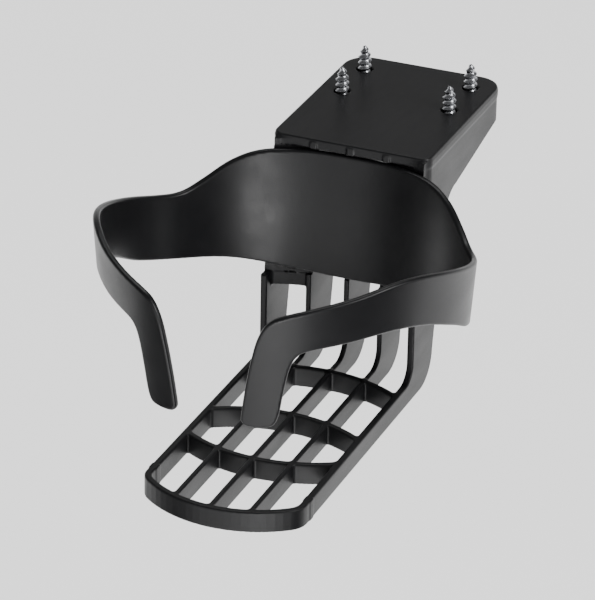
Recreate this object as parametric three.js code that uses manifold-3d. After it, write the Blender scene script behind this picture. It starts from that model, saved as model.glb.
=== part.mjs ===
// Under-desk cup holder: a lattice bracket that screws under a desk top and carries a cup in front of
// the desk's edge, and a tapered open band that is screwed to the bracket from behind.
//
// Millimetres, +Z up, -Y towards the user. The origin is the centre of the face that meets the desk.
import * as THREE from 'three';
import { mergeVertices } from 'three/addons/utils/BufferGeometryUtils.js';
import Module from 'manifold-3d';

const wasm = await Module();
wasm.setup();

// ---- driving dimensions -------------------------------------------------------------------------

const GAP = 0.3; // clearance kept between separate pieces

const HALF_WIDTH = 23; // bracket, across its outer rims
const RIM_THICKNESS = 2;
const RIB_THICKNESS = 1.5;
const RIB_X = 10.7; // inner ribs stand here and on the middle plane

const FLANGE_LENGTH = 60;
const FLANGE_THICKNESS = 3;
const FLANGE_FRONT_RADIUS = 3;
const FLANGE_REAR_RADIUS = 7;

const TRAY_TOP = -63.7;
const TRAY_DEPTH = 6;
const TRAY_FRONT_Y = -125.4;
const TRAY_FRONT_RADIUS = 33;
const TRAY_CORNER_RADIUS = 6.5;
const CROSS_BAR_Y = -41; // middle of the rearmost cross bar
const CROSS_BAR_PITCH = 27.3;
const CROSS_BAR_RADIUS = 40;
const CROSS_BAR_THICKNESS = 1.8;

const UPRIGHT_FRONT_Y = -30.5; // on the middle plane; the sides curve forward
const UPRIGHT_CURVE_RADIUS = 40;
const UPRIGHT_BOTTOM_DEPTH = 15.3;
const UPRIGHT_TOP_DEPTH = 21.8;
const BEND_INNER_RADIUS = 5;
const BEND_OUTER_RADIUS = 9;
const ARM_UNDERSIDE_Z = -16.4; // lower edge of the fins under the desk
const ARM_REAR_Z = -9;
const GUSSET_RADIUS = 8;
const BARS_FREE_Z = -10; // below this height the bars may reach in front of the flange

const RING_CENTRE_Y = -78.5;
const RING_RADIUS = 48.8; // middle of the wall at RING_REFERENCE_Z
const RING_SIDE_SHIFT = 5; // how far the band's widest part lies behind its middle
const RING_REFERENCE_Z = -20;
const RING_TAPER = 0.07; // radius gained per millimetre of height
const RING_THICKNESS = 2;
const RING_SIDES = 160; // facets around a wall that follows the band
const RING_SEAT_Z = -40.4; // the band's lower edge stands on the bars just above this height
const RING_END_ANGLE = 169.2; // from straight back, to the inner edge of each finger

const SCREW_X = 16; // every screw stands midway between a rim and an inner rib
const RING_SCREW_Z = [-12, -36];
const RING_SCREW_SEAT_Y = -23.5;
const RING_BOSS_RADIUS = 2.9;
const RING_BOSS_PILOT_DEPTH = 7;
const RING_BOSS_PILOT_RADIUS = 1.5;
const PLATE_THICKNESS = 2.4;
const PLATE_BOTTOM_Z = -44.5;
const PLATE_HOLE_RADIUS = 3.2;
const PLATE_PAD_RADIUS = 4.7;

const DESK_SCREW_Y = [4, 21];
const DESK_SCREW_PAD_DEPTH = 1.5;
const DESK_SCREW_PAD_RADIUS = 4.6;
const DESK_SCREW_HOLE_RADIUS = 2.3;

const PLASTIC = { color: 0x1b1c1d, roughness: 0.42, metalness: 0 };
const BLACK_ZINC = { color: 0x26272a, roughness: 0.38, metalness: 0.85 };
const BRIGHT_ZINC = { color: 0xb9bcc0, roughness: 0.3, metalness: 0.95 };

// ---- helpers ------------------------------------------------------------------------------------

const rad = THREE.MathUtils.degToRad;

function toSolid(geometry) {
  const bare = geometry.index ? geometry.clone() : geometry;
  bare.deleteAttribute('normal');
  bare.deleteAttribute('uv');
  const merged = mergeVertices(bare, 1e-4);
  return new wasm.Manifold(new wasm.Mesh({
    numProp: 3,
    vertProperties: new Float32Array(merged.attributes.position.array),
    triVerts: new Uint32Array(merged.index.array),
  }));
}

function toGeometry(solid) {
  const { vertProperties, triVerts } = solid.getMesh();
  const geometry = new THREE.BufferGeometry();
  geometry.setAttribute('position', new THREE.BufferAttribute(vertProperties, 3));
  geometry.setIndex(new THREE.BufferAttribute(triVerts, 1));
  geometry.computeVertexNormals();
  return geometry;
}

const join = (solids) => solids.reduce((whole, solid) => whole.add(solid));

// A plan outline in X and Y, extruded from bottom to top.
function upright(shape, bottom, top) {
  const options = { depth: top - bottom, bevelEnabled: false, curveSegments: 10 };
  return toSolid(new THREE.ExtrudeGeometry(shape, options).translate(0, 0, bottom));
}

// A side outline in Y and Z, extruded in X.
function sideways(shape, middle, thickness) {
  const options = { depth: thickness, bevelEnabled: false, curveSegments: 8 };
  const axes = new THREE.Matrix4().makeBasis(
    new THREE.Vector3(0, 1, 0),
    new THREE.Vector3(0, 0, 1),
    new THREE.Vector3(1, 0, 0),
  );
  const geometry = new THREE.ExtrudeGeometry(shape, options).translate(0, 0, -thickness / 2);
  return toSolid(geometry.applyMatrix4(axes).translate(middle, 0, 0));
}

function cylinderUp(x, y, bottom, top, radius) {
  const geometry = new THREE.CylinderGeometry(radius, radius, top - bottom, 28).rotateX(Math.PI / 2);
  return toSolid(geometry.translate(x, y, (bottom + top) / 2));
}

function cylinderAlongY(x, z, front, back, radius) {
  const geometry = new THREE.CylinderGeometry(radius, radius, back - front, 28);
  return toSolid(geometry.translate(x, (front + back) / 2, z));
}

// How far the upright's curved front has come forward at this distance from the middle plane.
const sag = (x) => UPRIGHT_CURVE_RADIUS - Math.sqrt(UPRIGHT_CURVE_RADIUS ** 2 - x ** 2);

const ringRadiusAt = (z) => RING_RADIUS + RING_TAPER * (z - RING_REFERENCE_Z);

// Plan position of the band, or of a wall that follows it: angles run from straight back.
function ringPlace(radius, angle) {
  const across = Math.sin(angle);
  return [radius * across, RING_CENTRE_Y + radius * Math.cos(angle) + RING_SIDE_SHIFT * across ** 2];
}

// Everything inside a wall that follows the band at this distance from the middle of its thickness.
function insideRing(offset, bottom, top) {
  const shape = (z) => Array.from({ length: RING_SIDES }, (_, i) =>
    ringPlace(ringRadiusAt(z) + offset, -2 * Math.PI * (i / RING_SIDES)));
  const positions = [
    ...shape(bottom).flatMap(([x, y]) => [x, y, bottom]),
    ...shape(top).flatMap(([x, y]) => [x, y, top]),
    0, RING_CENTRE_Y, bottom,
    0, RING_CENTRE_Y, top,
  ];
  const index = [];
  for (let i = 0; i < RING_SIDES; i += 1) {
    const next = (i + 1) % RING_SIDES;
    const [a, b, c, d] = [i, next, next + RING_SIDES, i + RING_SIDES];
    index.push(a, b, c, a, c, d, b, a, 2 * RING_SIDES, d, c, 2 * RING_SIDES + 1);
  }
  const geometry = new THREE.BufferGeometry();
  geometry.setAttribute('position', new THREE.Float32BufferAttribute(positions, 3));
  geometry.setIndex(index);
  return toSolid(geometry);
}

// ---- bracket ------------------------------------------------------------------------------------

const TRAY_BOTTOM = TRAY_TOP - TRAY_DEPTH;

// Plan outline of the tray's front end, pulled in by inset: sides, rounded corners and a bowed front.
function trayFront(inset, rearY) {
  const side = HALF_WIDTH - inset;
  const corner = TRAY_CORNER_RADIUS - inset;
  const bow = TRAY_FRONT_RADIUS - inset;
  const bowCentreY = TRAY_FRONT_Y + TRAY_FRONT_RADIUS;
  const cornerX = side - corner;
  const cornerY = bowCentreY - Math.sqrt((bow - corner) ** 2 - cornerX ** 2);
  const turn = Math.atan2(cornerY - bowCentreY, cornerX);
  return new THREE.Shape()
    .moveTo(-side, rearY)
    .lineTo(-side, cornerY)
    .absarc(-cornerX, cornerY, corner, -Math.PI, Math.PI - turn - 2 * Math.PI, false)
    .absarc(0, bowCentreY, bow, -Math.PI - turn, turn, false)
    .absarc(cornerX, cornerY, corner, turn, 0, false)
    .lineTo(side, rearY);
}

function trayFrontRim() {
  const rearY = TRAY_FRONT_Y + 16;
  const outer = upright(trayFront(0, rearY), TRAY_BOTTOM, TRAY_TOP);
  const inner = upright(trayFront(RIM_THICKNESS, rearY + 1), TRAY_BOTTOM - 1, TRAY_TOP + 1);
  return outer.subtract(inner);
}

// A cross bar of the tray, bowed towards the desk (bow 1) or towards the user (bow -1).
function crossBar(middleY, bow) {
  const reach = HALF_WIDTH - RIM_THICKNESS / 2;
  const half = Math.asin(reach / CROSS_BAR_RADIUS);
  const straight = bow * Math.PI / 2;
  const centreY = middleY - bow * CROSS_BAR_RADIUS;
  const outer = CROSS_BAR_RADIUS + CROSS_BAR_THICKNESS / 2;
  const inner = CROSS_BAR_RADIUS - CROSS_BAR_THICKNESS / 2;
  const shape = new THREE.Shape()
    .absarc(0, centreY, outer, straight - half, straight + half, false)
    .absarc(0, centreY, inner, straight + half, straight - half, true);
  return upright(shape, TRAY_BOTTOM, TRAY_TOP);
}

// One of the five long bars, seen from the side: under the desk, down the upright and out under the cup.
function bar(x, thickness, frontY) {
  const front = UPRIGHT_FRONT_Y - sag(x);
  const backLow = front + UPRIGHT_BOTTOM_DEPTH;
  const backHigh = front + UPRIGHT_TOP_DEPTH;
  const outerBendZ = TRAY_BOTTOM + BEND_OUTER_RADIUS;
  const innerBendZ = TRAY_TOP + BEND_INNER_RADIUS;
  const gussetZ = ARM_UNDERSIDE_Z - GUSSET_RADIUS;
  const rear = FLANGE_LENGTH / 2;
  const insideFlange = -FLANGE_THICKNESS / 2;
  const shape = new THREE.Shape()
    .moveTo(front, insideFlange)
    .lineTo(front, innerBendZ)
    .absarc(front - BEND_INNER_RADIUS, innerBendZ, BEND_INNER_RADIUS, 0, -Math.PI / 2, true)
    .lineTo(frontY, TRAY_TOP)
    .lineTo(frontY, TRAY_BOTTOM)
    .absarc(backLow - BEND_OUTER_RADIUS, outerBendZ, BEND_OUTER_RADIUS, -Math.PI / 2, 0, false)
    .lineTo(backHigh, gussetZ)
    .absarc(backHigh + GUSSET_RADIUS, gussetZ, GUSSET_RADIUS, Math.PI, Math.PI / 2, true)
    .lineTo(rear - 4, ARM_REAR_Z - 1)
    .quadraticCurveTo(rear - 0.5, ARM_REAR_Z, rear - 0.5, ARM_REAR_Z + 4)
    .lineTo(rear - 0.5, insideFlange);
  return sideways(shape, x, thickness);
}

function bars() {
  const rimX = HALF_WIDTH - RIM_THICKNESS / 2;
  const rimFront = TRAY_FRONT_Y + 15;
  const ribFront = (x) => TRAY_FRONT_Y + TRAY_FRONT_RADIUS
    - Math.sqrt((TRAY_FRONT_RADIUS - RIM_THICKNESS / 2) ** 2 - x ** 2);
  return [
    bar(-rimX, RIM_THICKNESS, rimFront),
    bar(rimX, RIM_THICKNESS, rimFront),
    ...[-RIB_X, 0, RIB_X].map((x) => bar(x, RIB_THICKNESS, ribFront(x))),
  ];
}

function flangeOutline() {
  const front = -FLANGE_LENGTH / 2;
  const rear = FLANGE_LENGTH / 2;
  const frontX = HALF_WIDTH - FLANGE_FRONT_RADIUS;
  const rearX = HALF_WIDTH - FLANGE_REAR_RADIUS;
  const frontY = front + FLANGE_FRONT_RADIUS;
  const rearY = rear - FLANGE_REAR_RADIUS;
  return new THREE.Shape()
    .moveTo(-frontX, front)
    .lineTo(frontX, front)
    .absarc(frontX, frontY, FLANGE_FRONT_RADIUS, -Math.PI / 2, 0)
    .absarc(rearX, rearY, FLANGE_REAR_RADIUS, 0, Math.PI / 2)
    .absarc(-rearX, rearY, FLANGE_REAR_RADIUS, Math.PI / 2, Math.PI)
    .absarc(-frontX, frontY, FLANGE_FRONT_RADIUS, Math.PI, 1.5 * Math.PI);
}

// The curved plate between a rim and its neighbouring rib that the band is screwed against.
function ringPlate(side) {
  const front = RING_THICKNESS / 2 + GAP;
  const outside = insideRing(front + PLATE_THICKNESS, PLATE_BOTTOM_Z, -FLANGE_THICKNESS / 2);
  const inside = insideRing(front, PLATE_BOTTOM_Z - 1, 0);
  const width = HALF_WIDTH - RIM_THICKNESS / 2 - RIB_X;
  const slot = toSolid(new THREE.BoxGeometry(width, 60, 100)
    .translate(side * (RIB_X + width / 2), RING_CENTRE_Y + 60, 0));
  return outside.subtract(inside).intersect(slot);
}

// The space in which the bars may lie: under the flange's outline, and in front of the arms lower down.
function barSpace(shape) {
  const size = new THREE.Vector3(4 * HALF_WIDTH, 200, 100);
  const free = new THREE.BoxGeometry(...size).translate(0, -size.y / 2, BARS_FREE_Z - size.z / 2);
  return upright(shape, ARM_UNDERSIDE_Z - 1, 0).add(toSolid(free));
}

function bracket() {
  const shape = flangeOutline();
  const sides = [-1, 1];
  const crossBars = [
    crossBar(CROSS_BAR_Y, 1),
    crossBar(CROSS_BAR_Y - CROSS_BAR_PITCH, 1),
    crossBar(CROSS_BAR_Y - 2 * CROSS_BAR_PITCH, -1),
  ];
  const ringScrewPlaces = sides.flatMap((side) => RING_SCREW_Z.map((z) => [side * SCREW_X, z]));
  const deskScrewPlaces = sides.flatMap((side) => DESK_SCREW_Y.map((y) => [side * SCREW_X, y]));
  const padFrontY = UPRIGHT_FRONT_Y - sag(SCREW_X);
  const padBottom = -FLANGE_THICKNESS - DESK_SCREW_PAD_DEPTH;
  const ringPads = ringScrewPlaces.map(([x, z]) =>
    cylinderAlongY(x, z, padFrontY, RING_SCREW_SEAT_Y, PLATE_PAD_RADIUS));
  const deskPads = deskScrewPlaces.map(([x, y]) =>
    cylinderUp(x, y, padBottom, -FLANGE_THICKNESS / 2, DESK_SCREW_PAD_RADIUS));
  const ringHoles = ringScrewPlaces.map(([x, z]) =>
    cylinderAlongY(x, z, padFrontY - PLATE_PAD_RADIUS, RING_SCREW_SEAT_Y + 1, PLATE_HOLE_RADIUS));
  const deskHoles = deskScrewPlaces.map(([x, y]) =>
    cylinderUp(x, y, padBottom - 1, 1, DESK_SCREW_HOLE_RADIUS));

  const arms = join(bars()).intersect(barSpace(shape));
  const ringSeat = insideRing(RING_THICKNESS / 2 + GAP, RING_SEAT_Z, -FLANGE_THICKNESS);
  const plate = upright(shape, -FLANGE_THICKNESS, 0);
  const walls = [trayFrontRim(), ...crossBars, ...sides.map(ringPlate)];
  return join([arms, plate, ...walls, ...ringPads, ...deskPads])
    .subtract(ringSeat)
    .subtract(join([...ringHoles, ...deskHoles]));
}

// ---- cup ring -----------------------------------------------------------------------------------

// Edges of one half of the band, as height over angle from straight back. Past RING_TURN the band
// turns down into a finger.
const RING_TOP_EDGE = [
  [0, -3.6], [18, -3.6], [30, -4.3], [39.5, -6.9], [49.5, -11.4], [58, -13.8], [68, -12.8], [84, -8.8],
  [104, -3.3], [116, -0.8], [125, -0.4], [136, -1.8], [148, -3.4], [156.8, -5], [161.3, -7],
  [164.3, -11.6], [166.3, -18.6], [168.1, -27.6], [RING_END_ANGLE, -34.9],
];
const RING_BOTTOM_EDGE = [
  [0, -39.6], [20, -38.2], [40, -35.3], [62, -32.8], [80, -28.6], [96, -22], [112, -16.2],
  [125, -14.1], [138, -14.5], [149.1, -15.4], [152.9, -16.9], [154.9, -20.6], [156.5, -27.6],
  [157.7, -33.9], [159.3, -37], [162.4, -37.8], [166.3, -37.7], [168.2, -37.2], [RING_END_ANGLE, -36],
];

function edgeHeight(edge) {
  const curve = new THREE.SplineCurve(edge.map(([angle, z]) => new THREE.Vector2(angle, z)));
  const points = curve.getPoints(400);
  return (angle) => {
    const next = points.findIndex((point) => point.x >= angle - 1e-9);
    if (next <= 0) return points[Math.max(next, 0)].y;
    const [a, b] = [points[next - 1], points[next]];
    return THREE.MathUtils.mapLinear(angle, a.x, b.x, a.y, b.y);
  };
}

function ringAngles() {
  const half = [];
  for (let angle = 0; angle < 150; angle += 3) half.push(angle);
  for (let angle = 150; angle < RING_END_ANGLE; angle += 0.75) half.push(angle);
  half.push(RING_END_ANGLE);
  return [...half.slice(1).reverse().map((angle) => -angle), ...half];
}

function ringBand() {
  const topAt = edgeHeight(RING_TOP_EDGE);
  const bottomAt = edgeHeight(RING_BOTTOM_EDGE);
  const half = RING_THICKNESS / 2;
  const angles = ringAngles();
  const positions = [];
  for (const angle of angles) {
    const top = topAt(Math.abs(angle));
    const bottom = bottomAt(Math.abs(angle));
    for (const [offset, z] of [[-half, bottom], [half, bottom], [half, top], [-half, top]]) {
      positions.push(...ringPlace(ringRadiusAt(z) + offset, rad(angle)), z);
    }
  }
  const index = [];
  for (let i = 0; i < angles.length - 1; i += 1) {
    for (let side = 0; side < 4; side += 1) {
      const [a, b] = [4 * i + side, 4 * i + (side + 1) % 4];
      index.push(a, b, b + 4, a, b + 4, a + 4);
    }
  }
  const last = 4 * (angles.length - 1);
  index.push(0, 2, 1, 0, 3, 2, last, last + 1, last + 2, last, last + 2, last + 3);
  const geometry = new THREE.BufferGeometry();
  geometry.setAttribute('position', new THREE.Float32BufferAttribute(positions, 3));
  geometry.setIndex(index);
  return toSolid(geometry);
}

function cupRing() {
  const bossEndY = RING_SCREW_SEAT_Y - GAP;
  const places = [-1, 1].flatMap((side) => RING_SCREW_Z.map((z) => [side * SCREW_X, z]));
  const wallY = (x, z) => ringPlace(ringRadiusAt(z), Math.asin(x / ringRadiusAt(z)))[1];
  const bosses = places.map(([x, z]) => cylinderAlongY(x, z, wallY(x, z), bossEndY, RING_BOSS_RADIUS));
  const pilots = places.map(([x, z]) =>
    cylinderAlongY(x, z, bossEndY - RING_BOSS_PILOT_DEPTH, bossEndY + 1, RING_BOSS_PILOT_RADIUS));
  return join([ringBand(), ...bosses]).subtract(join(pilots));
}

// ---- screws -------------------------------------------------------------------------------------

// A pan-head screw with a cross recess: the head's underside at the origin, the shank along +Z.
function screw({ headRadius, headHeight, shankRadius, length, tip }) {
  const profile = [
    [0, -headHeight], [headRadius * 0.55, -headHeight], [headRadius * 0.86, -headHeight * 0.72],
    [headRadius, -headHeight * 0.3], [headRadius, 0],
    [shankRadius, 0], [shankRadius, length - tip], [0, length],
  ];
  const points = profile.map(([radius, z]) => new THREE.Vector2(radius, z));
  const body = toSolid(new THREE.LatheGeometry(points, 28).rotateX(Math.PI / 2));
  const recessDepth = headHeight * 0.6;
  const slot = (turn) => toSolid(new THREE.BoxGeometry(headRadius * 0.95, headRadius * 0.2, recessDepth * 2)
    .translate(0, 0, -headHeight)
    .rotateZ(turn));
  return body.subtract(slot(rad(45)).add(slot(rad(-45))));
}

const ringScrew = screw({ headRadius: 3.8, headHeight: 2.4, shankRadius: 1.2, length: 6.8, tip: 0.8 });
const deskScrew = screw({ headRadius: 3.9, headHeight: 2.6, shankRadius: 1.95, length: 12, tip: 3.5 });

// ---- assembly -----------------------------------------------------------------------------------

const group = new THREE.Group();

function add(name, solid, look) {
  const mesh = new THREE.Mesh(toGeometry(solid), new THREE.MeshStandardMaterial(look));
  mesh.name = name;
  group.add(mesh);
  return mesh;
}

add('bracket', bracket(), PLASTIC);
add('cup_ring', cupRing(), PLASTIC);

for (const [side, hand] of [[-1, 'left'], [1, 'right']]) {
  RING_SCREW_Z.forEach((z, row) => {
    const mesh = add(`ring_screw_${hand}_${['upper', 'lower'][row]}`, ringScrew, BLACK_ZINC);
    mesh.rotation.x = Math.PI / 2;
    mesh.position.set(side * SCREW_X, RING_SCREW_SEAT_Y + GAP, z);
  });
  DESK_SCREW_Y.forEach((y, row) => {
    const mesh = add(`desk_screw_${hand}_${['front', 'rear'][row]}`, deskScrew, BRIGHT_ZINC);
    mesh.position.set(side * SCREW_X, y, -FLANGE_THICKNESS - DESK_SCREW_PAD_DEPTH - GAP);
  });
}

export default group;
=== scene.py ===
"""Looks of the under-desk cup holder: a moulded lattice bracket, a tapered open band and screws.

Each piece is described as a signed distance field in millimetres (negative inside), turned into
a mesh of quads, and then pulled onto the field, so that every edge has its moulded rounding and
every junction its fillet. The mouldings are symmetric, so their outlines are drawn for |x| only.
"""
import math
import bpy
import numpy as np
from mathutils import Matrix, Vector


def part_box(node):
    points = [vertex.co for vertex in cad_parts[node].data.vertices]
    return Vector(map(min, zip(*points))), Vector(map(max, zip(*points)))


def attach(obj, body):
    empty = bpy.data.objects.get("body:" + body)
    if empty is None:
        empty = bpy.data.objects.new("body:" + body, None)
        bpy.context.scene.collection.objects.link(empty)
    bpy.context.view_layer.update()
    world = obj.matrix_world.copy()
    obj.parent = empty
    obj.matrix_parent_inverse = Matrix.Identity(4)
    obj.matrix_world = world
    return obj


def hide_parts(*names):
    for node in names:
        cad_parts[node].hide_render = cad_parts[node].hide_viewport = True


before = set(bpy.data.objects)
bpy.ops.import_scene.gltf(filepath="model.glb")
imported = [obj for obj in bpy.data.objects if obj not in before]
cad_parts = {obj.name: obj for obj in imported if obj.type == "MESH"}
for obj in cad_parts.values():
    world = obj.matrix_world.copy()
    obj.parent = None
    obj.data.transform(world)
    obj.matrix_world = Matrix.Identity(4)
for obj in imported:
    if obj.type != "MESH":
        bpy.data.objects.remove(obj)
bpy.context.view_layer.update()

MM = 0.001


def box_mm(node):
    """Lowest and highest corner of a CAD node, in millimetres."""
    low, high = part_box(node)
    return np.array(low) / MM, np.array(high) / MM


# ---- sizes, from the frame and from the bracket's section --------------------------------------

BRACKET_LOW, BRACKET_HIGH = box_mm("bracket")
RING_LOW, RING_HIGH = box_mm("cup_ring")

HALF_WIDTH = BRACKET_HIGH[0]
RIM_THICKNESS = 2.0
RIB_THICKNESS = 1.5
RIB_X = 10.7
FLANGE_FRONT_Y = -30.0
FLANGE_REAR_Y = BRACKET_HIGH[1]
FLANGE_THICKNESS = 3.0
FLANGE_FRONT_RADIUS = 3.0
FLANGE_REAR_RADIUS = 7.0
TRAY_BOTTOM = BRACKET_LOW[2]
TRAY_DEPTH = 6.0
TRAY_TOP = TRAY_BOTTOM + TRAY_DEPTH
TRAY_FRONT_Y = BRACKET_LOW[1]
TRAY_FRONT_RADIUS = 33.0
TRAY_CORNER_RADIUS = 6.5
FRONT_RIM_LENGTH = 16.0  # from the tray's front; the side rims take over inside its last 2 mm
SIDE_RIM_START = 14.0
CROSS_BAR_Y = -41.0
CROSS_BAR_PITCH = 27.3
CROSS_BAR_RADIUS = 40.0
CROSS_BAR_THICKNESS = 1.8
UPRIGHT_FRONT_Y = -30.5
UPRIGHT_CURVE_RADIUS = 40.0
UPRIGHT_BOTTOM_DEPTH = 15.3
UPRIGHT_TOP_DEPTH = 21.8
BEND_INNER_RADIUS = 5.0
BEND_OUTER_RADIUS = 9.0
ARM_UNDERSIDE_Z = -16.4
ARM_REAR_CENTRE_Z = -6.0
ARM_REAR_RADIUS = 4.0
ARM_REAR_INSET = 0.5
GUSSET_RADIUS = 8.0
BARS_FREE_Z = -10.0  # above this height nothing stands in front of the flange
INSIDE_FLANGE_Z = -1.0  # where everything that carries the flange ends

RING_CENTRE_Y = -78.5
RING_RADIUS = 48.8
RING_SIDE_SHIFT = 5.0
RING_REFERENCE_Z = -20.0
RING_TAPER = 0.07
RING_THICKNESS = 2.0
RING_SEAT_Z = -40.4
RING_END_ANGLE = 169.2
GAP = 0.3

SIDES = ((-1, "left"), (1, "right"))
SCREW_X = 16.0
RING_SCREW_Z = (-12.0, -36.0)
RING_SCREW_SEAT_Y = -23.5
RING_BOSS_RADIUS = 2.9
RING_BOSS_PILOT_DEPTH = 7.0
RING_BOSS_PILOT_RADIUS = 1.5
PLATE_THICKNESS = 2.4
PLATE_BOTTOM_Z = -44.5
PLATE_HOLE_RADIUS = 3.2
PLATE_PAD_RADIUS = 4.7
PLATE_PAD_FRONT_Y = UPRIGHT_FRONT_Y - 6
PLATE_HOLE_Y = (UPRIGHT_FRONT_Y - 12, RING_SCREW_SEAT_Y + 3)
PLATE_REACH = 20.0  # the plates lie at least this far behind the band's centre
DESK_SCREW_Y = (4.0, 21.0)
DESK_SCREW_PAD_DEPTH = 1.5
DESK_SCREW_PAD_RADIUS = 4.6
DESK_SCREW_HOLE_RADIUS = 2.3
DESK_SCREW_HOLE_BOTTOM_Z = -12.0

EDGE = 0.45  # rounding of the bracket's outer edges
BAND_EDGE = 0.7  # rounding of the band's outer edges
BAND_SHRINK = 0.02  # keeps the band's rounded faces inside the CAD box
FILLET = 0.8  # rounding of the bracket's inner corners
PAD_EDGE = 0.3  # rounding and fillet of the round pads under the screws
PAD_FILLET = 0.5
HOLE_EDGE = 0.3
SEAT_EDGE = 0.15
BOSS_EDGE = 0.25
PILOT_EDGE = 0.2
FAR = 200.0  # well outside the holder

BRACKET_STEP = 0.42  # sizes of the meshes' quads
BAND_STEP = 0.45
BOSS_STEP = 0.3
SCREW_STEP = 0.16


# ---- distance fields ---------------------------------------------------------------------------

def polygon(points, u, v):
    """Distance to a closed outline in the plane of u and v, negative inside it."""
    nearest = np.full(np.broadcast(u, v).shape, np.inf)
    inside = np.zeros(nearest.shape, bool)
    for (au, av), (bu, bv) in zip(points, points[1:] + points[:1]):
        du, dv = bu - au, bv - av
        length = du * du + dv * dv
        if length < 1e-12:
            continue
        t = np.clip(((u - au) * du + (v - av) * dv) / length, 0, 1)
        nearest = np.minimum(nearest, (u - au - t * du) ** 2 + (v - av - t * dv) ** 2)
        crosses = (av > v) != (bv > v)
        if abs(dv) > 1e-12:
            inside ^= crosses & (u < au + (v - av) * du / dv)
    return np.where(inside, -1.0, 1.0) * np.sqrt(nearest)


def rounded_meet(a, b, radius):
    """The part inside both fields, with the edge where they meet rounded."""
    a, b = a + radius, b + radius
    outer = np.sqrt(np.maximum(a, 0) ** 2 + np.maximum(b, 0) ** 2)
    return np.minimum(np.maximum(a, b), 0) + outer - radius


def slab(w, low, high):
    """The space between two parallel planes."""
    return np.abs(w - (low + high) / 2) - (high - low) / 2


def filleted_join(a, b, radius=FILLET):
    """Both fields together, with a fillet along the inner corner where they meet."""
    blend = np.maximum(radius - np.abs(a - b), 0)
    return np.minimum(a, b) - blend * blend / (4 * radius)


def rounded_cut(a, b, radius=HOLE_EDGE):
    """The first field without the second, with the cut's edge rounded."""
    return rounded_meet(a, -b, radius)


def arc(centre, radius, start, end, steps=10):
    """Points along an arc, angles in degrees."""
    angles = np.radians(np.linspace(start, end, steps + 1))
    return [(centre[0] + radius * math.cos(a), centre[1] + radius * math.sin(a))
            for a in angles]


# ---- fields to meshes --------------------------------------------------------------------------

CORNERS = [(i, j, k) for i in (0, 1) for j in (0, 1) for k in (0, 1)]
EDGES = [(a, b) for a in CORNERS for b in CORNERS
         if sum(b) - sum(a) == 1 and all(q >= p for p, q in zip(a, b))]


def surface_net(field, low, high, step):
    """Vertices and quads of the field's zero surface inside a box."""
    axes = [np.arange(a - 2 * step, b + 3 * step, step) for a, b in zip(low, high)]
    shape = tuple(len(axis) for axis in axes)
    values = np.broadcast_to(field(*np.meshgrid(*axes, indexing="ij", sparse=True)), shape)
    inside = values < 0
    cells = tuple(n - 1 for n in shape)
    count = np.zeros(cells, np.int8)
    for i, j, k in CORNERS:
        count += inside[i:i + cells[0], j:j + cells[1], k:k + cells[2]]
    active = (count > 0) & (count < 8)
    index = np.argwhere(active)
    ids = np.full(cells, -1, np.int64)
    ids[active] = np.arange(len(index))

    total = np.zeros((len(index), 3))
    crossings = np.zeros((len(index), 1))
    for a, b in EDGES:
        va = values[tuple((index + a).T)]
        vb = values[tuple((index + b).T)]
        hit = (va < 0) != (vb < 0)
        t = np.where(hit, va / np.where(hit, va - vb, 1), 0)[:, None]
        total += np.where(hit[:, None], np.array(a) + t * (np.array(b) - a), 0)
        crossings += hit[:, None]
    origin = np.array([axis[0] for axis in axes])
    vertices = origin + step * (index + total / crossings)

    quads = []
    for axis in range(3):
        ahead, behind = [slice(1, -1)] * 3, [slice(1, -1)] * 3
        ahead[axis], behind[axis] = slice(1, None), slice(None, -1)
        start, end = inside[tuple(behind)], inside[tuple(ahead)]
        edge = np.argwhere(start != end) + [0 if n == axis else 1 for n in range(3)]
        first, second = (axis + 1) % 3, (axis + 2) % 3
        ring = []
        for p, q in ((-1, -1), (0, -1), (0, 0), (-1, 0)):
            offset = np.zeros(3, int)
            offset[first], offset[second] = p, q
            ring.append(ids[tuple((edge + offset).T)])
        ring = np.stack(ring, axis=1)
        facing = start[start != end]
        ring[~facing] = ring[~facing][:, ::-1]
        quads.append(ring)
    return vertices, np.concatenate(quads)


def gradient(field, points, here, reach=0.02):
    """Slope of the field at points where its value is already known."""
    slopes = []
    for axis in range(3):
        ahead = points.copy()
        ahead[:, axis] += reach
        slopes.append((field(*ahead.T) - here) / reach)
    return np.stack(slopes, axis=1)


def settle(field, vertices, step, rounds=2, reach_in_steps=0.6):
    """The vertices moved onto the field's zero surface, and the surface's normal at each."""
    limit = step * reach_in_steps
    for _ in range(rounds):
        here = field(*vertices.T)
        slope = gradient(field, vertices, here)
        size = np.maximum((slope ** 2).sum(axis=1), 0.05)
        move = -(here / size)[:, None] * slope
        reach = np.linalg.norm(move, axis=1, keepdims=True)
        vertices = vertices + move * np.minimum(1, limit / np.maximum(reach, 1e-9))
    slope = gradient(field, vertices, field(*vertices.T))
    return vertices, slope / np.maximum(np.linalg.norm(slope, axis=1, keepdims=True), 1e-9)


def make_mesh(name, vertices, quads, normals):
    """A smooth-shaded mesh in metres."""
    mesh = bpy.data.meshes.new(name)
    mesh.vertices.add(len(vertices))
    mesh.vertices.foreach_set("co", (vertices * MM).astype(np.float32).ravel())
    mesh.loops.add(quads.size)
    mesh.loops.foreach_set("vertex_index", quads.astype(np.int32).ravel())
    mesh.polygons.add(len(quads))
    mesh.polygons.foreach_set("loop_start", np.arange(0, quads.size, 4, dtype=np.int32))
    mesh.update(calc_edges=True)
    mesh.validate()
    mesh.shade_smooth()
    mesh.normals_split_custom_set_from_vertices(normals.astype(np.float32))
    return mesh


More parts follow.
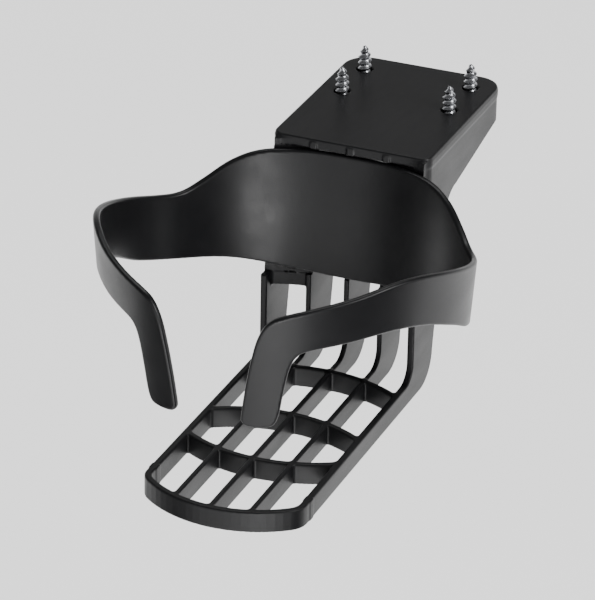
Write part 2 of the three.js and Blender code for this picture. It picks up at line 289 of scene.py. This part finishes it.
def field_mesh(name, field, low, high, step, warp=None, nudge=0.01):
    """Meshes a field; warp, if given, carries points from the field's space to the model's."""
    vertices, quads = surface_net(field, low, high, step)
    vertices, normals = settle(field, vertices, step)
    if warp:
        aside = np.where(np.abs(normals[:, :1]) < 0.7, (1.0, 0, 0), (0, 1.0, 0))
        across = np.cross(normals, aside)
        along = np.cross(normals, across)
        here = warp(vertices)
        normals = np.cross(warp(vertices + nudge * across) - here,
                           warp(vertices + nudge * along) - here)
        normals /= np.linalg.norm(normals, axis=1, keepdims=True)
        vertices = here
    return make_mesh(name, vertices, quads, normals)


def add_piece(name, mesh, material, node):
    piece = bpy.data.objects.new(name, mesh)
    bpy.context.collection.objects.link(piece)
    mesh.materials.clear()
    mesh.materials.append(material)
    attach(piece, "root")
    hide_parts(node)
    return piece


# ---- bracket -----------------------------------------------------------------------------------

def sag(x):
    """How far forward the upright's curved front is at this distance from the middle plane."""
    return UPRIGHT_CURVE_RADIUS - math.sqrt(UPRIGHT_CURVE_RADIUS ** 2 - x ** 2)


def ring_radius(z):
    """Radius of the middle of the band's wall."""
    return RING_RADIUS + RING_TAPER * (z - RING_REFERENCE_Z)


def ring_wall(x, y, z):
    """Distance outwards from the middle of the band's wall, which leans with its taper."""
    radius = ring_radius(z)
    y = y - RING_CENTRE_Y - RING_SIDE_SHIFT * np.minimum((x / radius) ** 2, 1)
    return (np.hypot(x, y) - radius) / math.hypot(1, RING_TAPER)


def bar_outline(x, front_y):
    """Side outline, in Y and Z, of the long bar at x, from under the desk to the tray's front."""
    front = UPRIGHT_FRONT_Y - sag(x)
    back_low, back_high = front + UPRIGHT_BOTTOM_DEPTH, front + UPRIGHT_TOP_DEPTH
    gusset_z = ARM_UNDERSIDE_Z - GUSSET_RADIUS
    rear = FLANGE_REAR_Y - ARM_REAR_INSET
    inner, outer = BEND_INNER_RADIUS, BEND_OUTER_RADIUS
    return [
        (front, INSIDE_FLANGE_Z),
        *arc((front - inner, TRAY_TOP + inner), inner, 0, -90),
        (front_y, TRAY_TOP),
        (front_y, TRAY_BOTTOM),
        *arc((back_low - outer, TRAY_BOTTOM + outer), outer, -90, 0),
        *arc((back_high + GUSSET_RADIUS, gusset_z), GUSSET_RADIUS, 180, 90),
        *arc((rear - ARM_REAR_RADIUS, ARM_REAR_CENTRE_Z), ARM_REAR_RADIUS, -90, 0, 6),
        (rear, INSIDE_FLANGE_Z),
    ]


def plan_outline(inset):
    """Plan outline of the tray's front end and side; it closes far beyond the middle."""
    side, corner = HALF_WIDTH - inset, TRAY_CORNER_RADIUS - inset
    bow = TRAY_FRONT_RADIUS - inset
    bow_y = TRAY_FRONT_Y + TRAY_FRONT_RADIUS
    corner_x = side - corner
    corner_y = bow_y - math.sqrt((bow - corner) ** 2 - corner_x ** 2)
    turn = math.degrees(math.atan2(corner_y - bow_y, corner_x))
    return [
        (-FAR, TRAY_FRONT_Y + inset),
        *arc((0, bow_y), bow, -90, turn),
        *arc((corner_x, corner_y), corner, turn, 0),
        (side, FAR),
        (-FAR, FAR),
    ]


def bars_field(x, y, z):
    """The two side rims and the three ribs."""
    rim_x = HALF_WIDTH - RIM_THICKNESS / 2
    places = [(rim_x, RIM_THICKNESS, TRAY_FRONT_Y + SIDE_RIM_START)]
    for rib_x in (0, RIB_X):
        bow = math.sqrt((TRAY_FRONT_RADIUS - RIM_THICKNESS / 2) ** 2 - rib_x ** 2)
        places.append((rib_x, RIB_THICKNESS, TRAY_FRONT_Y + TRAY_FRONT_RADIUS - bow))
    bars = []
    for bar_x, thickness, front_y in places:
        profile = polygon(bar_outline(bar_x, front_y), y, z)
        across = slab(np.abs(x), bar_x - thickness / 2, bar_x + thickness / 2)
        bars.append(rounded_meet(profile, across, EDGE))
    return np.minimum(np.minimum(bars[0], bars[1]), bars[2])


def cross_bars_field(x, y, z):
    """The three bowed bars across the tray; the front one bows forward."""
    field = None
    for row, bow in ((0, 1), (1, 1), (2, -1)):
        centre_y = CROSS_BAR_Y - row * CROSS_BAR_PITCH - bow * CROSS_BAR_RADIUS
        wall = np.abs(np.hypot(x, y - centre_y) - CROSS_BAR_RADIUS) - CROSS_BAR_THICKNESS / 2
        wall = np.maximum(wall, -bow * (y - centre_y))
        cross = rounded_meet(wall, slab(z, TRAY_BOTTOM, TRAY_TOP), EDGE)
        field = cross if field is None else np.minimum(field, cross)
    return np.maximum(field, np.abs(x) - (HALF_WIDTH - RIM_THICKNESS / 2))


def front_rim_field(x, y, z):
    """The bowed wall around the tray's front end."""
    outside = polygon(plan_outline(0), np.abs(x), y)
    inside = polygon(plan_outline(RIM_THICKNESS), np.abs(x), y)
    wall = np.maximum(np.maximum(outside, -inside), y - (TRAY_FRONT_Y + FRONT_RIM_LENGTH))
    return rounded_meet(wall, slab(z, TRAY_BOTTOM, TRAY_TOP), EDGE)


def flange_outline():
    """Plan outline of the flange."""
    front, rear = FLANGE_FRONT_RADIUS, FLANGE_REAR_RADIUS
    return [
        (-FAR, FLANGE_FRONT_Y),
        *arc((HALF_WIDTH - front, FLANGE_FRONT_Y + front), front, -90, 0),
        *arc((HALF_WIDTH - rear, FLANGE_REAR_Y - rear), rear, 0, 90),
        (-FAR, FLANGE_REAR_Y),
    ]


def ring_plates_field(x, y, z):
    """The two curved plates that the band is screwed against."""
    offset = RING_THICKNESS / 2 + GAP
    wall = slab(ring_wall(x, y, z), offset, offset + PLATE_THICKNESS)
    height = slab(z, PLATE_BOTTOM_Z, INSIDE_FLANGE_Z)
    width = slab(np.abs(x), RIB_X, HALF_WIDTH - RIM_THICKNESS / 2)
    plates = np.maximum(rounded_meet(wall, height, EDGE), width)
    return np.maximum(plates, RING_CENTRE_Y + PLATE_REACH - y)


def bracket_field(x, y, z):
    plan = polygon(flange_outline(), np.abs(x), y)
    plate = rounded_meet(plan, slab(z, -FLANGE_THICKNESS, 0), EDGE)
    bars = bars_field(x, y, z)
    bars = np.maximum(bars, np.minimum(plan, np.maximum(y, z - BARS_FREE_Z)))

    tray = filleted_join(cross_bars_field(x, y, z), front_rim_field(x, y, z))
    field = filleted_join(bars, tray)
    tray_rear_y = CROSS_BAR_Y - BEND_INNER_RADIUS
    above_tray = np.minimum(z - TRAY_TOP, tray_rear_y - y)
    field = np.maximum(field, np.maximum(above_tray, TRAY_BOTTOM - z))  # flat where fillets bulge
    field = filleted_join(field, plate)
    field = filleted_join(field, ring_plates_field(x, y, z))
    for row_z in RING_SCREW_Z:
        radial = np.hypot(np.abs(x) - SCREW_X, z - row_z)
        thickness = slab(y, PLATE_PAD_FRONT_Y, RING_SCREW_SEAT_Y)
        pad = rounded_meet(radial - PLATE_PAD_RADIUS, thickness, PAD_EDGE)
        field = filleted_join(field, pad, PAD_FILLET)
    for row_y in DESK_SCREW_Y:
        radial = np.hypot(np.abs(x) - SCREW_X, y - row_y)
        thickness = slab(z, -FLANGE_THICKNESS - DESK_SCREW_PAD_DEPTH, INSIDE_FLANGE_Z)
        pad = rounded_meet(radial - DESK_SCREW_PAD_RADIUS, thickness, PAD_EDGE)
        field = filleted_join(field, pad, PAD_FILLET)

    band_space = ring_wall(x, y, z) - RING_THICKNESS / 2 - GAP
    seat = np.maximum(band_space, slab(z, RING_SEAT_Z, -FLANGE_THICKNESS))
    field = rounded_cut(field, seat, SEAT_EDGE)
    for row_z in RING_SCREW_Z:
        hole = np.hypot(np.abs(x) - SCREW_X, z - row_z) - PLATE_HOLE_RADIUS
        field = rounded_cut(field, np.maximum(hole, slab(y, *PLATE_HOLE_Y)))
    for row_y in DESK_SCREW_Y:
        hole = np.hypot(np.abs(x) - SCREW_X, y - row_y) - DESK_SCREW_HOLE_RADIUS
        field = rounded_cut(field, np.maximum(hole, DESK_SCREW_HOLE_BOTTOM_Z - z))
    return field


# ---- cup ring ----------------------------------------------------------------------------------

# Heights of the band's edges at angles from the middle of its back.
RING_TOP_EDGE = [
    (-20, -3.6), (0, -3.6), (18, -3.6), (30, -4.3), (39.5, -6.9), (49.5, -11.4), (58, -13.8),
    (68, -12.8), (84, -8.8), (104, -3.3), (116, -0.8), (125, -0.4), (136, -1.8), (148, -3.4),
    (156.8, -5), (161.3, -7), (164.3, -11.6), (166.3, -18.6), (168.1, -27.6),
    (RING_END_ANGLE, -34.9),
]
RING_BOTTOM_EDGE = [
    (-20, -38.2), (0, -39.6), (20, -38.2), (40, -35.3), (62, -32.8), (80, -28.6), (96, -22),
    (112, -16.2), (125, -14.1), (138, -14.5), (149.1, -15.4), (152.9, -16.9), (154.9, -20.6),
    (156.5, -27.6), (157.7, -33.9), (159.3, -37), (162.4, -37.8), (166.3, -37.7), (168.2, -37.2),
    (RING_END_ANGLE, -36),
]


def smooth_edge(points, per_span=6):
    """Catmull-Rom curve through an edge's points."""
    padded = [points[0]] + points + [points[-1]]
    curve = []
    for a, b, c, d in zip(padded, padded[1:], padded[2:], padded[3:]):
        a, b, c, d = map(np.array, (a, b, c, d))
        for t in np.arange(per_span) / per_span:
            bend = (2 * a - 5 * b + 4 * c - d) * t ** 2 + (3 * b - a - 3 * c + d) * t ** 3
            curve.append(tuple(b + ((c - a) * t + bend) / 2))
    return curve + [points[-1]]


def band_outline():
    """One half of the unrolled band, in arc length and height, for fields of |arc length|."""
    to_arc = math.radians(RING_RADIUS)
    edge = smooth_edge(RING_TOP_EDGE) + smooth_edge(RING_BOTTOM_EDGE)[::-1]
    return [(angle * to_arc, z) for angle, z in edge]


def band_warp(points):
    """From unrolled arc length, wall offset and height to the tapered band in the model."""
    arc_length, offset, z = points.T
    radius = ring_radius(z) + offset
    angle = arc_length / RING_RADIUS
    across = np.sin(angle)
    y = RING_CENTRE_Y + radius * np.cos(angle) + RING_SIDE_SHIFT * across ** 2
    return np.stack([radius * across, y, z], axis=1)


def band_mesh():
    outline = band_outline()

    def field(arc_length, offset, z):
        face = polygon(outline, np.abs(arc_length), z) + BAND_SHRINK
        wall = np.abs(offset) - RING_THICKNESS / 2 + BAND_SHRINK
        return rounded_meet(face, wall, BAND_EDGE)

    reach = math.radians(RING_END_ANGLE) * RING_RADIUS
    low = (-reach, -RING_THICKNESS / 2, RING_LOW[2])
    high = (reach, RING_THICKNESS / 2, RING_HIGH[2])
    return field_mesh("cup_ring", field, low, high, BAND_STEP, band_warp)


def boss_mesh(name, side, row_z):
    """A hollow post on the band's outside, which a screw from behind bites into."""
    end_y = RING_SCREW_SEAT_Y - GAP

    def field(x, y, z):
        radial = np.hypot(x - side * SCREW_X, z - row_z)
        ends = np.maximum(y - end_y, -ring_wall(x, y, z))
        post = rounded_meet(radial - RING_BOSS_RADIUS, ends, BOSS_EDGE)
        pilot = np.maximum(radial - RING_BOSS_PILOT_RADIUS, end_y - RING_BOSS_PILOT_DEPTH - y)
        return rounded_cut(post, pilot, PILOT_EDGE)

    root_y = RING_CENTRE_Y + math.sqrt(ring_radius(row_z) ** 2 - (SCREW_X + RING_BOSS_RADIUS) ** 2)
    low = (side * SCREW_X - RING_BOSS_RADIUS, root_y - 1, row_z - RING_BOSS_RADIUS)
    high = (side * SCREW_X + RING_BOSS_RADIUS, end_y, row_z + RING_BOSS_RADIUS)
    return field_mesh(name, field, low, high, BOSS_STEP)


# ---- screws ------------------------------------------------------------------------------------

def screw_field(head_radius, head_height, root, crest, pitch, length, tip):
    """A pan-head screw with a cross recess; its head hangs below the origin, its shank rises."""
    edge_centre = (head_radius * 0.45, -head_height * 0.42)
    dome = [
        (0, -head_height),
        *arc(edge_centre, head_height * 0.58, -90, -35, 6),
        (head_radius, -head_height * 0.3),
        (head_radius, 0),
        (0, 0),
    ]
    dome += [(-r, z) for r, z in dome[::-1]]
    recess_top = -head_height * 0.36
    slot = head_radius * 0.1
    thread_start, inside_head, steepness = 0.6, -0.5, 0.75

    def field(x, y, z):
        radial = np.hypot(x, y)
        head = polygon(dome, radial, z)
        turn = z / pitch - np.arctan2(y, x) / (2 * math.pi)
        ridge = 1 - 2 * np.abs(turn - np.floor(turn) - 0.5)
        rise = np.clip((z - thread_start) / pitch, 0, 1)
        taper = np.clip((length - z) / tip, 0, 1)
        shank_radius = (root + (crest - root) * rise * ridge ** 1.5) * np.sqrt(taper)
        shank = (radial - shank_radius) * steepness
        shank = np.maximum(shank, np.maximum(inside_head - z, z - length))
        wing = head_radius * 0.48 - 0.35 * (z + head_height)
        cross = np.minimum(np.maximum(np.abs(x) - wing, np.abs(y) - slot),
                           np.maximum(np.abs(y) - wing, np.abs(x) - slot))
        head = rounded_cut(head, np.maximum(cross, z - recess_top), 0.12)
        return filleted_join(head, shank, 0.3)

    return field


def screw_mesh(name, **sizes):
    radius = sizes["head_radius"]
    low = (-radius, -radius, -sizes["head_height"])
    high = (radius, radius, sizes["length"])
    return field_mesh(name, screw_field(**sizes), low, high, SCREW_STEP)


# ---- materials ---------------------------------------------------------------------------------

class Nodes:
    """A short way to build a node material around one Principled shader."""

    def __init__(self, name):
        self.material = bpy.data.materials.new(name)
        self.material.use_nodes = True
        self.tree = self.material.node_tree
        self.shader = self.tree.nodes["Principled BSDF"]
        self.place = self.tree.nodes.new("ShaderNodeTexCoord").outputs["Object"]

    def noise(self, scale, detail=3.0, roughness=0.5, stretch=None):
        node = self.tree.nodes.new("ShaderNodeTexNoise")
        node.inputs["Scale"].default_value = scale
        node.inputs["Detail"].default_value = detail
        node.inputs["Roughness"].default_value = roughness
        source = self.place
        if stretch:
            mapping = self.tree.nodes.new("ShaderNodeMapping")
            mapping.inputs["Scale"].default_value = stretch
            self.tree.links.new(source, mapping.inputs["Vector"])
            source = mapping.outputs["Vector"]
        self.tree.links.new(source, node.inputs["Vector"])
        return node.outputs["Fac"]

    def spread(self, value, low, high, start=0.3, end=0.7):
        node = self.tree.nodes.new("ShaderNodeMapRange")
        numbers = {"From Min": start, "From Max": end, "To Min": low, "To Max": high}
        for key, number in numbers.items():
            node.inputs[key].default_value = number
        self.tree.links.new(value, node.inputs["Value"])
        return node.outputs["Result"]

    def ramp(self, value, *stops):
        node = self.tree.nodes.new("ShaderNodeValToRGB")
        for stop, (position, colour) in zip(node.color_ramp.elements, stops):
            stop.position = position
            stop.color = (*colour, 1)
        self.tree.links.new(value, node.inputs["Fac"])
        return node.outputs["Color"]

    def bump(self, height, distance, strength, normal=None):
        node = self.tree.nodes.new("ShaderNodeBump")
        node.inputs["Distance"].default_value = distance
        node.inputs["Strength"].default_value = strength
        self.tree.links.new(height, node.inputs["Height"])
        if normal:
            self.tree.links.new(normal, node.inputs["Normal"])
        return node.outputs["Normal"]

    def math(self, operation, a, b):
        node = self.tree.nodes.new("ShaderNodeMath")
        node.operation = operation
        for socket, value in zip(node.inputs, (a, b)):
            if isinstance(value, (int, float)):
                socket.default_value = value
            else:
                self.tree.links.new(value, socket)
        return node.outputs["Value"]

    def feed(self, **links):
        for key, value in links.items():
            self.tree.links.new(value, self.shader.inputs[key.replace("_", " ")])


def moulded_plastic(name, dark, light, smooth, rough):
    """Black plastic from a fine-sparked mould: even colour, fine grain, slight sheen changes."""
    nodes = Nodes(name)
    nodes.shader.inputs["IOR"].default_value = 1.5
    nodes.shader.inputs["Specular IOR Level"].default_value = 0.34
    cloud = nodes.noise(38, 4)
    grain = nodes.noise(2600, 2, 0.6)
    flow = nodes.noise(120, 3, 0.55, (1, 0.25, 1))
    nodes.feed(
        Base_Color=nodes.ramp(cloud, (0.3, dark), (0.7, light)),
        Roughness=nodes.math(
            "ADD", nodes.spread(flow, smooth, rough), nodes.spread(grain, -0.03, 0.03)),
        Normal=nodes.bump(grain, 0.00003, 0.5, nodes.bump(flow, 0.0002, 0.06)),
    )
    return nodes.material


def plated_steel(name, dark, light, smooth, rough):
    """Plated steel with cloudy colour and fine scuffs around the shank."""
    nodes = Nodes(name)
    nodes.shader.inputs["Metallic"].default_value = 1.0
    cloud = nodes.noise(260, 4)
    scuff = nodes.noise(1500, 3, 0.6, (1, 1, 0.15))
    nodes.feed(
        Base_Color=nodes.ramp(cloud, (0.3, dark), (0.7, light)),
        Roughness=nodes.spread(scuff, smooth, rough),
        Normal=nodes.bump(scuff, 0.00002, 0.35),
    )
    return nodes.material


# ---- pieces ------------------------------------------------------------------------------------

BLACKS = (0.007, 0.007, 0.008), (0.011, 0.011, 0.012)
BRACKET_PLASTIC = moulded_plastic("bracket_plastic", *BLACKS, 0.36, 0.46)
RING_PLASTIC = moulded_plastic("ring_plastic", *BLACKS, 0.31, 0.39)
BLACK_ZINC = plated_steel(
    "black_screw_steel", (0.02, 0.02, 0.022), (0.045, 0.045, 0.05), 0.25, 0.4)
BRIGHT_ZINC = plated_steel(
    "zinc_screw_steel", (0.48, 0.49, 0.51), (0.62, 0.63, 0.66), 0.2, 0.36)


def make_bracket():
    mesh = field_mesh("bracket", bracket_field, BRACKET_LOW, BRACKET_HIGH, BRACKET_STEP)
    add_piece("bracket_moulding", mesh, BRACKET_PLASTIC, "bracket")


def make_ring():
    add_piece("cup_ring_band", band_mesh(), RING_PLASTIC, "cup_ring")
    for side, hand in SIDES:
        for row, z in zip(("upper", "lower"), RING_SCREW_Z):
            name = f"cup_ring_boss_{hand}_{row}"
            add_piece(name, boss_mesh(name, side, z), RING_PLASTIC, "cup_ring")


def place(piece, turn, tilt, x, y, z):
    """Turns a copy of the piece's mesh about Z, tilts it about X and moves it, in mm."""
    spin = Matrix.Rotation(math.radians(turn), 4, "Z")
    lean = Matrix.Rotation(math.radians(tilt), 4, "X")
    piece.data = piece.data.copy()
    piece.data.transform(Matrix.Translation(Vector((x, y, z)) * MM) @ lean @ spin)


def make_screws():
    ring_screw = screw_mesh("ring_screw", head_radius=3.8, head_height=2.4,
                            root=0.85, crest=1.2, pitch=1.1, length=6.8, tip=0.8)
    desk_screw = screw_mesh("desk_screw", head_radius=3.9, head_height=2.6,
                            root=1.35, crest=1.95, pitch=1.7, length=12.0, tip=3.5)
    desk_screw_z = -FLANGE_THICKNESS - DESK_SCREW_PAD_DEPTH - GAP
    turns = iter((12, 57, 81, 33, 24, 68, 5, 49))
    for side, hand in SIDES:
        for row, z in zip(("upper", "lower"), RING_SCREW_Z):
            node = f"ring_screw_{hand}_{row}"
            piece = add_piece(node + "_steel", ring_screw, BLACK_ZINC, node)
            place(piece, next(turns), 90, side * SCREW_X, RING_SCREW_SEAT_Y + GAP, z)
        for row, y in zip(("front", "rear"), DESK_SCREW_Y):
            node = f"desk_screw_{hand}_{row}"
            piece = add_piece(node + "_steel", desk_screw, BRIGHT_ZINC, node)
            place(piece, next(turns), 0, side * SCREW_X, y, desk_screw_z)


make_bracket()
make_ring()
make_screws()


# ---- studio ------------------------------------------------------------------------------------

HOLDER_MIDDLE = (0, -0.07, -0.03)


def add_stage(name, corners, roughness, scale, dark, light):
    """One flat face that belongs to the studio; dark and light are greys."""
    mesh = bpy.data.meshes.new(name)
    mesh.from_pydata(corners, [], [(0, 1, 2, 3)])
    stage = bpy.data.objects.new(name, mesh)
    bpy.context.collection.objects.link(stage)
    nodes = Nodes(name)
    nodes.shader.inputs["Roughness"].default_value = roughness
    cloud = nodes.noise(scale, 2)
    nodes.feed(Base_Color=nodes.ramp(cloud, (0.3, (dark,) * 3), (0.7, (light,) * 3)))
    mesh.materials.append(nodes.material)
    return stage


def make_floor():
    a, z = 8.0, -0.45
    corners = [(-a, -a, z), (a, -a, z), (a, a, z), (-a, a, z)]
    add_stage("studio_floor", corners, 0.9, 2, 0.9, 0.93)


def make_flag(name, x, front_y, rear_y):
    """A black card beside the holder, unseen, that gives the plastic dark reflections."""
    low, high = -0.44, 0.04
    corners = [(x, front_y, low), (x, rear_y, low), (x, rear_y, high), (x, front_y, high)]
    flag = add_stage(name, corners, 1.0, 4, 0.01, 0.02)
    flag.visible_camera = False


def make_light(name, place_at, aim, size, power):
    data = bpy.data.lights.new(name, "AREA")
    data.shape = "RECTANGLE"
    data.size, data.size_y = size
    data.energy = power
    light = bpy.data.objects.new(name, data)
    light.location = place_at
    light.rotation_euler = (Vector(aim) - Vector(place_at)).to_track_quat("-Z", "Y").to_euler()
    light.visible_camera = False
    bpy.context.collection.objects.link(light)


def make_camera():
    """A long lens that looks at the holder from the photo's direction."""
    azimuth, elevation, roll = math.radians(22), math.radians(26.5), math.radians(1.1)
    centre = Vector((0, -0.066, -0.0305))
    distance = 1.09
    back = Vector((
        math.sin(azimuth) * math.cos(elevation),
        -math.cos(azimuth) * math.cos(elevation),
        math.sin(elevation),
    ))
    data = bpy.data.cameras.new("camera")
    data.lens = 244
    camera = bpy.data.objects.new("camera", data)
    camera.rotation_mode = "QUATERNION"
    camera.location = centre + back * distance
    level = (-back).to_track_quat("-Z", "Y")
    camera.rotation_quaternion = level @ Matrix.Rotation(roll, 3, "Z").to_quaternion()
    bpy.context.collection.objects.link(camera)
    bpy.context.scene.camera = camera


def make_world():
    """A pale room: white towards the horizon, darker overhead."""
    world = bpy.data.worlds.new("studio")
    world.use_nodes = True
    tree = world.node_tree
    direction = tree.nodes.new("ShaderNodeTexCoord").outputs["Generated"]
    height = tree.nodes.new("ShaderNodeSeparateXYZ")
    shade = tree.nodes.new("ShaderNodeMapRange")
    shade.interpolation_type = "SMOOTHSTEP"
    numbers = {"From Min": 0.05, "From Max": 0.4, "To Min": 0.9, "To Max": 0.12}
    for key, number in numbers.items():
        shade.inputs[key].default_value = number
    tree.links.new(direction, height.inputs["Vector"])
    tree.links.new(height.outputs["Z"], shade.inputs["Value"])
    tree.links.new(shade.outputs["Result"], tree.nodes["Background"].inputs["Strength"])
    tree.nodes["Background"].inputs["Color"].default_value = (1, 1, 1, 1)
    bpy.context.scene.world = world


make_floor()
make_world()
make_flag("flag_left", -0.3, -0.48, -0.15)
make_flag("flag_right", 0.3, -0.38, 0.0)
make_light("floor_wash", (0, 0.4, -0.2), (0, 0.4, -1), (14.0, 14.0), 900)
make_light("key_right", (1.0, -0.3, 0.5), HOLDER_MIDDLE, (0.5, 0.7), 9)
make_light("front_low", (0.45, -1.0, -0.35), HOLDER_MIDDLE, (0.35, 0.25), 3.5)
make_light("top", (-0.2, 0.5, 1.0), HOLDER_MIDDLE, (0.6, 0.3), 3)
make_camera()
